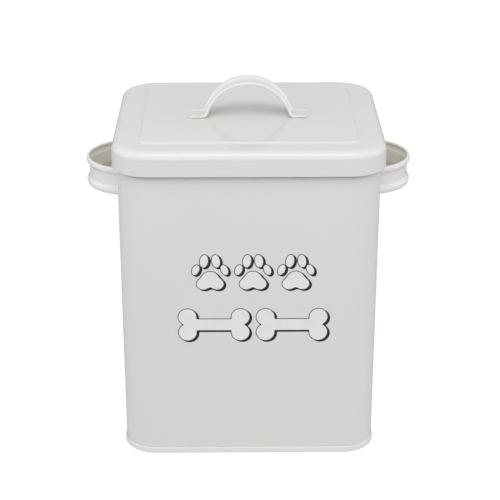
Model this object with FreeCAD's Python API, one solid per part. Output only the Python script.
import FreeCAD, Part
import math
import os
from FreeCAD import Vector

# Pet food bin: a straight-sided, rounded-rectangular sheet-steel bin with a seamed-on base and
# a lift-off pressed lid, with one beaded strap handle on the lid and one on each side.
# Units mm, +Z up.  Origin: centre of the base footprint, on the floor.  The front faces -Y.
# Sheet profiles are drawn in (d, z): d is the distance outwards from the body wall's outside.

# ---------------------------------------------------------------- driving dimensions
BODY_W = 262.0          # outside width of the body wall (X)
BODY_D = 226.0          # outside depth of the body wall (Y)
BODY_R = 32.5           # outside radius of the body's vertical corners
SHEET = 0.6             # sheet thickness of body, base and lid

HALF_SHEET = SHEET / 2
HALF_W, HALF_D = BODY_W / 2, BODY_D / 2

# centres of the vertical corners, shared by every ring, anticlockwise from back right
CORNER_X, CORNER_Y = HALF_W - BODY_R, HALF_D - BODY_R
CORNERS = [Vector(CORNER_X * side_x, CORNER_Y * side_y, 0)
           for side_x, side_y in ((1, 1), (-1, 1), (-1, -1), (1, -1))]

# base seam
SEAM_H = 6.3            # height of the double seam that joins base and body
SEAM_PLAY = 0.05        # gap between the folded layers
HOOK_PLAY = 0.03        # gap between the body's hook and its wall
HOOK_DROP = 2.4         # end of the hook below the seam height
FLOOR_Z = 5.0           # mid-plane of the bin's floor
SEAM_SLOPE = 40         # degrees, slope of the seam's top
SEAM_FLARE = 4          # degrees, outward lean of the seam's side towards its foot
SEAM_TOP_D = 0.30       # start of the base sheet, mid-sheet
SEAM_TOP_R = 1.6        # mid-sheet bend radii, in order along the base sheet
SEAM_OUTER_R = 0.8
SEAM_INNER_R = 0.55
FLOOR_R = 1.5
FLOOR_MARGIN = 5.0      # flat floor made with the ring, outside the floor plate

# lid
LID_GAP = 5.0           # lid's outside stands this far outside the body wall, all round
LID_TOP_Z = 337.4       # top of the lid's flat border
SKIRT_BOTTOM_Z = 312.4  # lower edge of the lid's skirt
LID_EDGE_R = 7.8        # outside radius between lid top and skirt
HEM_H = 6.0             # height of the hem folded inside the skirt
HEM_R = 0.35            # mid-sheet radius of the hem's fold
PANEL_INSET = 27.8      # from the lid's outside to the middle of the raised panel's step
PANEL_RISE = 1.3        # height of the raised panel above the border
STEP_R = 2.5            # mid-sheet radius of both bends in the panel's step
PANEL_MARGIN = 2.0      # flat panel made with the ring, outside the panel plate
PANEL_Z = LID_TOP_Z + PANEL_RISE

# rim of the body
RIM_R = 1.5             # mid-sheet radius of the curl round the mouth
RIM_TURN = 285          # degrees the rim curls
RIM_PLAY = 0.03         # gap between the curl and the inside of the lid's edge radius

# side seam of the body, at the middle of the back
BACK_SEAM_W = 8.0
BACK_SEAM_T = 1.2
BACK_SEAM_R = 0.5       # fillet along its two outer edges
BACK_SEAM_LIFT = 0.8    # its lower end above the base seam's height
BACK_SEAM_DROP = 6.5    # its upper end below the centre of the rim's curl

# one beaded strap serves for all three handles
STRAP_T = 0.9           # strap thickness
STRAP_PLAY = 0.03       # paint film between a handle foot and the sheet it is welded to
STRAP_BEAD = 21.0       # bead to bead, between the middles of the two rounded ribs
STRAP_VALLEY = 2.8      # bead above the flat middle of the strap
STRAP_SLOPE = 5.0       # width over which the middle rises to a bead
CREST_R = 8.0           # mid-sheet radius over the crest of a bead
CREST_TURN = 23.0       # degrees the crest turns down
CURL_R = 1.0            # mid-sheet radius of the curled edge outside the crest
CURL_TURN = 165.0       # degrees the edge curls on the arch
FOOT_BEAD = 1.5         # bead height left on the feet
FOOT_TURN = 62.0        # degrees the edge turns down on the feet
ARCH_R = 46.5           # radius of the arch over the tops of the beads
ARCH_H = 38.2           # top of the beads above the face that the feet stand on
FLARE_R = 6.5           # mid-sheet radius where a leg turns out into its foot
STRAP_HALF = 62.0       # middle of the arch to the end of a foot
SHARE_RUN = 4.0         # length of foot over which the arch section finishes changing
END_RUN = 4.0           # length over which the beads run out at the end of a foot
FOOT_TRIM = 3.0         # how much shorter a foot is at its side edges
LID_HANDLE_Y = -2.0     # middle of the lid handle, just in front of the lid's middle
SIDE_HANDLE_Z = 280.2   # middle of the side handles above the ground

# crosswise stations of the strap's section: 0 at its middle, 1 at its edge
FLAT_END, SLOPE_END, CREST_END = 0.20, 0.46, 0.62
POLES_ACROSS = 60       # pole intervals across the strap
POLE_PITCH = 1.5        # nominal pole spacing along the strap
SLOPE_PROBE = 1e-4      # station step used to find the section's normal

# spot welds
WELD_R = 2.0
WELD_DISH = 0.12        # shallow mark the electrode leaves in the foot
WELDS_ALONG = (51.4, 57.2)  # along the foot, from the middle of the arch
SEAT_L = 3.0            # length of the plug that clears a seat, from 1 mm inside the sheet


# ---------------------------------------------------------------- sheet tools
def beside(point, heading, distance):
    """Point at `distance` to the left of `point`, for a path with `heading` in radians."""
    return point + Vector(-math.sin(heading), 0, math.cos(heading)) * distance


def strip(start, heading, moves):
    """Closed face of a bent sheet.  The sheet's middle starts at (d, z) `start` with `heading`
    in degrees.  A move is ("line", length) or ("arc", radius, turn), a positive turn to the left."""
    point = Vector(BODY_R + start[0], 0, start[1])
    heading = math.radians(heading)
    left, right = [], []
    sides = ((left, HALF_SHEET), (right, -HALF_SHEET))
    for move in moves:
        if move[0] == "line":
            end = point + Vector(math.cos(heading), 0, math.sin(heading)) * move[1]
            for side, offset in sides:
                side.append([beside(p, heading, offset) for p in (point, end)])
            point = end
        else:
            turn = math.radians(move[2])
            swing = math.copysign(move[1], turn)
            centre = beside(point, heading, swing)
            headings = (heading, heading + turn / 2, heading + turn)
            for side, offset in sides:
                side.append([beside(centre, angle, offset - swing) for angle in headings])
            heading += turn
            point = beside(centre, heading, -swing)

    caps = [[left[0][0], right[0][0]], [left[-1][-1], right[-1][-1]]]
    edges = [(Part.LineSegment if len(points) == 2 else Part.Arc)(*points).toShape()
             for points in left + right + caps]
    return Part.Face(Part.Wire(Part.__sortEdges__(edges)))


def ring(profile):
    """Solids that carry a profile all round the rounded-rectangular outline."""
    axis = Vector(0, 0, 1)
    solids = []
    for k, centre in enumerate(CORNERS):
        start = profile.copy()
        start.rotate(Vector(0, 0, 0), axis, 90 * k)
        corner = start.revolve(Vector(0, 0, 0), axis, 90)
        corner.translate(centre)
        end = profile.copy()
        end.rotate(Vector(0, 0, 0), axis, 90 * (k + 1))
        end.translate(centre)
        solids += [corner, end.extrude(CORNERS[(k + 1) % 4] - centre)]
    return solids


def plate(d, z_low):
    """Flat rounded-rectangular sheet whose edge is `d` outside the body's outside."""
    def on_corner(centre, degrees):
        angle = math.radians(degrees)
        radius = BODY_R + d
        return centre + Vector(radius * math.cos(angle), radius * math.sin(angle), z_low)

    edges = []
    for k, centre in enumerate(CORNERS):
        first, middle, last = (on_corner(centre, 90 * k + turn) for turn in (0, 45, 90))
        edges.append(Part.LineSegment(on_corner(CORNERS[k - 1], 90 * k), first).toShape())
        edges.append(Part.Arc(first, middle, last).toShape())
    return Part.Face(Part.Wire(edges)).extrude(Vector(0, 0, SHEET))


def unwrap(shape):
    """The bare solid where a shape holds only one."""
    return shape.Solids[0] if len(shape.Solids) == 1 else shape


def join(shapes):
    return unwrap(shapes[0].multiFuse(shapes[1:]).removeSplitter())


# ---------------------------------------------------------------- body, base and lid
def make_body_wall():
    """Hook at the bottom, straight wall, curl turned outwards round the mouth, back seam."""
    hook_d = HOOK_PLAY + HALF_SHEET
    hook_z = SEAM_H - HOOK_DROP
    fold_r = (hook_d + HALF_SHEET) / 2
    fold_z = SHEET + SEAM_PLAY + fold_r + HALF_SHEET

    # the curl touches the inside of the lid's edge radius, less the play
    rim_d = RIM_R - HALF_SHEET
    reach = LID_EDGE_R - SHEET - RIM_R - HALF_SHEET - RIM_PLAY
    rim_z = LID_TOP_Z - LID_EDGE_R + math.sqrt(reach ** 2 - (rim_d - LID_GAP + LID_EDGE_R) ** 2)

    wall = ring(strip((hook_d, hook_z), -90, [
        ("line", hook_z - fold_z),
        ("arc", fold_r, -180),
        ("line", rim_z - fold_z),
        ("arc", RIM_R, -RIM_TURN)]))

    seam_z = SEAM_H + BACK_SEAM_LIFT
    seam_h = rim_z - BACK_SEAM_DROP - seam_z
    seam = Part.makeBox(BACK_SEAM_W, BACK_SEAM_T, seam_h, Vector(-BACK_SEAM_W / 2, HALF_D, seam_z))
    outer_edges = [e for e in seam.Edges
                   if abs(e.Length - seam_h) < 1e-6 and e.CenterOfMass.y > HALF_D + BACK_SEAM_T / 2]
    return join(wall + [seam.makeFillet(BACK_SEAM_R, outer_edges)])


def make_base_pan():
    """Outer layer of the seam (sloping top, flared side), flat foot, inner layer, floor."""
    slope, flare = math.radians(SEAM_SLOPE), math.radians(SEAM_FLARE)
    inner_d = -SHEET - SEAM_PLAY - HALF_SHEET
    side_d = SEAM_TOP_D + SEAM_TOP_R * (math.cos(flare) - math.sin(slope))
    side_z = SEAM_H - SEAM_TOP_R * (math.cos(slope) - math.sin(flare))
    side_l = (side_z - HALF_SHEET - SEAM_OUTER_R * (1 + math.sin(flare))) / math.cos(flare)
    foot_d = side_d + side_l * math.sin(flare) - SEAM_OUTER_R * math.cos(flare)
    profile = strip((SEAM_TOP_D, SEAM_H), -SEAM_SLOPE, [
        ("arc", SEAM_TOP_R, SEAM_SLOPE + SEAM_FLARE - 90),
        ("line", side_l),
        ("arc", SEAM_OUTER_R, -90 - SEAM_FLARE),
        ("line", foot_d - inner_d - SEAM_INNER_R),
        ("arc", SEAM_INNER_R, -90),
        ("line", FLOOR_Z - FLOOR_R - SEAM_INNER_R - HALF_SHEET),
        ("arc", FLOOR_R, 90),
        ("line", FLOOR_MARGIN)])
    floor = plate(inner_d - FLOOR_R - FLOOR_MARGIN, FLOOR_Z - HALF_SHEET)
    return join(ring(profile) + [floor])


def make_lid_shell():
    """Hem inside the skirt, skirt, edge radius, flat border, step up to the panel."""
    step_turn = math.degrees(math.acos(1 - PANEL_RISE / (2 * STEP_R)))
    step_w = 2 * STEP_R * math.sin(math.radians(step_turn))
    profile = strip((LID_GAP - HALF_SHEET - 2 * HEM_R, SKIRT_BOTTOM_Z + HEM_H), -90, [
        ("line", HEM_H - HEM_R - HALF_SHEET),
        ("arc", HEM_R, 180),
        ("line", LID_TOP_Z - LID_EDGE_R - (SKIRT_BOTTOM_Z + HEM_R + HALF_SHEET)),
        ("arc", LID_EDGE_R - HALF_SHEET, 90),
        ("line", PANEL_INSET - step_w / 2 - LID_EDGE_R),
        ("arc", STEP_R, -step_turn),
        ("arc", STEP_R, step_turn),
        ("line", PANEL_MARGIN)])
    panel = plate(LID_GAP - PANEL_INSET - step_w / 2 - PANEL_MARGIN, PANEL_Z - SHEET)
    return join(ring(profile) + [panel])


# ---------------------------------------------------------------- strap handles
# lengthwise line of the strap's flat middle: arc, flare, then straight foot
MID_R = ARCH_R - STRAP_VALLEY - STRAP_T / 2
MID_CENTRE = ARCH_H - ARCH_R                    # arch centre, outwards from the feet's face
FOOT_OUT = STRAP_PLAY + STRAP_T / 2
FLARE_RISE = FOOT_OUT + FLARE_R - MID_CENTRE    # flare centre beyond the arch centre
FOOT_START = math.sqrt((MID_R + FLARE_R) ** 2 - FLARE_RISE ** 2)
LEG_ANGLE = math.atan2(FLARE_RISE, FOOT_START)  # where the arc meets the flare
ARC_L = MID_R * (math.pi / 2 - LEG_ANGLE)
FLARE_L = FLARE_R * (math.pi / 2 - LEG_ANGLE)
BENT_L = ARC_L + FLARE_L
HALF_L = BENT_L + STRAP_HALF - FOOT_START


def smooth(x):
    """Smooth step from 0 to 1, held outside that range."""
    x = min(1.0, max(0.0, x))
    return x * x * (3 - 2 * x)


def lengthwise(distance):
    """(along, out, normal along, normal out, share) at a signed distance from the arch's
    middle, where `share` is 1 on the arch and 0 on a foot."""
    run = abs(distance)
    sign = 1 if distance >= 0 else -1
    if run <= ARC_L:
        angle = math.pi / 2 - run / MID_R
        normal = (math.cos(angle), math.sin(angle))
        along, out = MID_R * normal[0], MID_CENTRE + MID_R * normal[1]
    elif run <= BENT_L:
        angle = LEG_ANGLE + (run - ARC_L) / FLARE_R
        normal = (math.cos(angle), math.sin(angle))
        along, out = FOOT_START - FLARE_R * normal[0], FOOT_OUT + FLARE_R * (1 - normal[1])
    else:
        normal = (0.0, 1.0)
        along, out = FOOT_START + run - BENT_L, FOOT_OUT
    share = 1 - smooth((run - ARC_L) / (FLARE_L + SHARE_RUN))
    return sign * along, out, sign * normal[0], normal[1], share


def section(station, share, fade):
    """(across, out) of the strap's middle for a station from -1 to 1.  `fade` goes to 0 at
    the end of a foot, where the beads run out."""
    bead = FOOT_BEAD + (STRAP_VALLEY - FOOT_BEAD) * share
    flat = STRAP_BEAD / 2 - STRAP_SLOPE
    t = abs(station)
    if t <= FLAT_END:
        across, out = flat * t / FLAT_END, 0.0
    elif t <= SLOPE_END:
        part = (t - FLAT_END) / (SLOPE_END - FLAT_END)
        across, out = flat + STRAP_SLOPE * part, bead * (1 - math.cos(math.pi * part)) / 2
    else:
        crest_part = min(1.0, (t - SLOPE_END) / (CREST_END - SLOPE_END))
        curl_part = max(0.0, t - CREST_END) / (1 - CREST_END)
        crest = math.radians(CREST_TURN) * crest_part
        curl = crest + math.radians(FOOT_TURN + (CURL_TURN - FOOT_TURN) * share) * curl_part
        across = (STRAP_BEAD / 2 + CREST_R * math.sin(crest)
                  + CURL_R * (math.sin(curl) - math.sin(crest)))
        out = bead - CREST_R * (1 - math.cos(crest)) - CURL_R * (math.cos(crest) - math.cos(curl))
    return (across if station >= 0 else -across), out * fade


def strap_poles(place):
    """Pole grids of the strap's outer and inner faces, one row for each station across."""
    count = int(2 * HALF_L / POLE_PITCH)
    marks = [-HALF_L + 2 * HALF_L * i / count for i in range(count + 1)]
    half_width = section(1.0, 0.0, 1.0)[0]
    grids = ([], [])
    for j in range(POLES_ACROSS + 1):
        station = -1 + 2 * j / POLES_ACROSS
        trim = FOOT_TRIM * abs(section(station, 0.0, 1.0)[0] / half_width) ** 4
        rows = ([], [])
        for mark in marks:
            run = abs(mark)
            if run > BENT_L:
                run = BENT_L + (run - BENT_L) * (1 - trim / (HALF_L - BENT_L))
            along, out, normal_along, normal_out, share = lengthwise(math.copysign(run, mark))
            fade = smooth((HALF_L - abs(mark)) / END_RUN)
            across, rise = section(station, share, fade)

            # normal of the section, from two stations close by
            across_1, rise_1 = section(min(1.0, station + SLOPE_PROBE), share, fade)
            across_0, rise_0 = section(max(-1.0, station - SLOPE_PROBE), share, fade)
            step = math.hypot(across_1 - across_0, rise_1 - rise_0)
            normal_across, normal_rise = (rise_0 - rise_1) / step, (across_1 - across_0) / step

            for row, offset in zip(rows, (STRAP_T / 2, -STRAP_T / 2)):
                lift = rise + normal_rise * offset
                row.append(place(along + normal_along * lift, across + normal_across * offset,
                                 out + normal_out * lift))
        for grid, row in zip(grids, rows):
            grid.append(row)
    return grids


def spline_surface(poles):
    """Clamped uniform cubic surface over a grid of poles."""
    sizes = (len(poles), len(poles[0]))
    mults = [[4] + [1] * (n - 4) + [4] for n in sizes]
    knots = [[float(i) for i in range(n - 2)] for n in sizes]
    surface = Part.BSplineSurface()
    surface.buildFromPolesMultsKnots(poles, *mults, *knots, False, False, 3, 3)
    return surface


def make_strap(place):
    """Strap with a bead along each side and curled edges, the beads lower on the feet."""
    outer, inner = [spline_surface(poles) for poles in strap_poles(place)]
    u_min, u_max, v_min, v_max = outer.bounds()
    borders = [(outer.uIso(u), inner.uIso(u)) for u in (u_min, u_max)]
    borders += [(outer.vIso(v), inner.vIso(v)) for v in (v_min, v_max)]
    sides = [Part.makeRuledSurface(a.toShape(), b.toShape()) for a, b in borders]
    shell = Part.makeShell([outer.toShape(), inner.toShape()] + sides)
    shell.sewShape()
    solid = Part.makeSolid(shell)
    if solid.Volume < 0:    # the placing can turn the shell inside out
        solid.reverse()
    return solid


def make_welds(place):
    """Nuggets through both sheets, and the longer plugs that clear their seats."""
    nuggets, seats = [], []
    for sign in (-1, 1):
        for along in WELDS_ALONG:
            low = place(sign * along, 0, -SHEET)
            way = place(sign * along, 0, STRAP_PLAY + STRAP_T - WELD_DISH) - low
            nuggets.append(Part.makeCylinder(WELD_R, way.Length, low, way))
            way.normalize()
            seats.append(Part.makeCylinder(WELD_R, SEAT_L, low - way, way))
    return nuggets, seats


# each handle's (along, across, out) in the bin's frame
def place_on_lid(along, across, out):
    return Vector(along, LID_HANDLE_Y + across, PANEL_Z + out)


def place_on_right(along, across, out):
    return Vector(HALF_W + out, along, SIDE_HANDLE_Z + across)


def place_on_left(along, across, out):
    return Vector(-HALF_W - out, along, SIDE_HANDLE_Z + across)


# ---------------------------------------------------------------- assembly and export
pieces = {"base_pan": make_base_pan()}
seats = {}
for side, place in (("lid", place_on_lid), ("right", place_on_right), ("left", place_on_left)):
    nuggets, seats[side] = make_welds(place)
    pieces[side + "_handle"] = make_strap(place).cut(seats[side])
    pieces[side + "_handle_welds"] = Part.makeCompound(nuggets)
pieces["lid_shell"] = make_lid_shell().cut(seats["lid"])
pieces["body_wall"] = make_body_wall().cut(seats["right"] + seats["left"])

os.makedirs("parts", exist_ok=True)
for name, shape in pieces.items():
    unwrap(shape).exportStep("parts/" + name + ".step")
